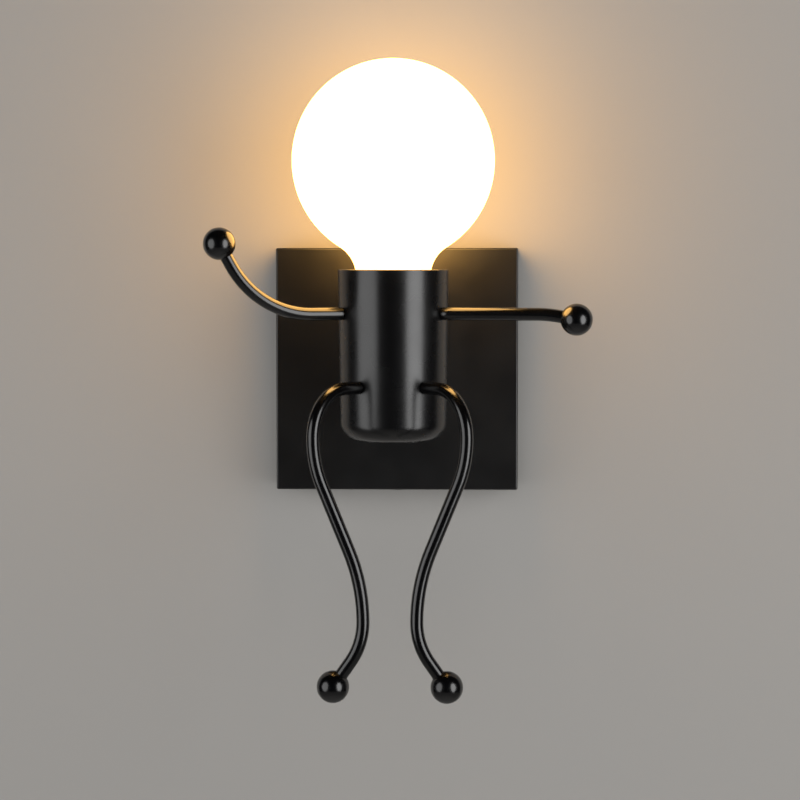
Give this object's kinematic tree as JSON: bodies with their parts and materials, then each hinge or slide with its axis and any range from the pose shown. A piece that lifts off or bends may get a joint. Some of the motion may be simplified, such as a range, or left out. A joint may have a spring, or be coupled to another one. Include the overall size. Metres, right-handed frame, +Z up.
{
  "type": "wall lamp",
  "caption": "Wall lamp shaped as a small standing figure: tapered cup body, globe bulb head, bent-rod arms and legs with ball ends, on a square wall canopy.",
  "frame": {"origin": "on the wall plane, at the centre of the canopy and of the wall strap's two slots", "axes": "+Z up, +Y into the wall, +X to the right of someone facing the lamp"},
  "size_m": [0.1775, 0.1284, 0.2948],
  "materials": {
    "black_paint": "satin black powder coat",
    "zinc_steel": "zinc-plated",
    "brass": "turned",
    "nickel": "nickel-plated",
    "porcelain": "glazed porcelain",
    "nylon": "moulded",
    "opal_glass": "opal, lit",
    "clear_glass": "clear",
    "black_insulator": "gloss",
    "filament": "coated",
    "brown_pvc": "extruded",
    "blue_pvc": "extruded",
    "earth_pvc": "extruded, green and yellow"
  },
  "bodies": {
    "lamp": {"mounting_bracket": "zinc_steel", "canopy": "black_paint", "canopy_screws": "black_paint", "terminal_block": "nylon", "terminal_clamps": "brass", "terminal_screws": "zinc_steel", "terminal_block_screw": "zinc_steel", "earth_screw": "brass", "earth_lugs": "nickel", "earth_wire": "earth_pvc", "nipple": "zinc_steel", "rear_lock_washer": "zinc_steel", "rear_nut": "zinc_steel", "standoff_tube": "black_paint", "saddle_washer": "zinc_steel", "front_nut": "zinc_steel", "live_wire": "brown_pvc", "neutral_wire": "blue_pvc", "cup": "black_paint", "cup_screws": "black_paint", "holder_bracket": "zinc_steel", "holder_screws": "zinc_steel", "lampholder_body": "porcelain", "lampholder_shell": "nickel", "centre_contact": "brass", "side_contact": "brass", "holder_terminals": "brass", "holder_terminal_screws": "zinc_steel"},
    "left_arm_limb": {"left_arm": "black_paint", "left_hand": "black_paint", "left_arm_washer": "zinc_steel", "left_arm_nut": "zinc_steel"},
    "right_arm_limb": {"right_arm": "black_paint", "right_hand": "black_paint", "right_arm_washer": "zinc_steel", "right_arm_nut": "zinc_steel"},
    "left_leg_limb": {"left_leg": "black_paint", "left_foot": "black_paint", "left_leg_washer": "zinc_steel", "left_leg_nut": "zinc_steel"},
    "right_leg_limb": {"right_leg": "black_paint", "right_foot": "black_paint", "right_leg_washer": "zinc_steel", "right_leg_nut": "zinc_steel"},
    "bulb_tip": {"bulb_contact_tip": "nickel"},
    "bulb": {"bulb_insulator": "black_insulator", "bulb_cap": "nickel", "bulb_neck": "opal_glass", "bulb_globe": "opal_glass", "bulb_stem": "clear_glass", "filament_supports": "nickel", "led_filaments": "filament"}
  },
  "joints": [
    {"name": "left_arm_swivel", "type": "hinge", "parent": "lamp", "child": "left_arm_limb", "pos_m": [0, -0.075, 0.0288], "axis": [-0.9063, -0.4226, 0], "range_deg": [-90, 90]},
    {"name": "right_arm_swivel", "type": "hinge", "parent": "lamp", "child": "right_arm_limb", "pos_m": [0, -0.075, 0.0288], "axis": [0.9063, -0.4226, 0], "range_deg": [-90, 90]},
    {"name": "left_leg_swivel", "type": "hinge", "parent": "lamp", "child": "left_leg_limb", "pos_m": [0, -0.075, -0.0052], "axis": [0.6018, 0.7986, 0], "range_deg": [-3, 75]},
    {"name": "right_leg_swivel", "type": "hinge", "parent": "lamp", "child": "right_leg_limb", "pos_m": [0, -0.075, -0.0052], "axis": [0.6018, -0.7986, 0], "range_deg": [-3, 75]},
    {"name": "bulb_lift", "type": "slide", "parent": "lamp", "child": "bulb_tip", "axis": [0, 0, 1], "range_m": [0, 0.0128]},
    {"name": "bulb_turn", "type": "hinge", "parent": "bulb_tip", "child": "bulb", "pos_m": [0, -0.075, 0], "axis": [0, 0, 1], "range_deg": [0, 1260]}
  ],
  "couplings": [
    {"joint": "bulb_lift", "follows": "bulb_turn", "m_per_rad": 0.00057757}
  ]
}
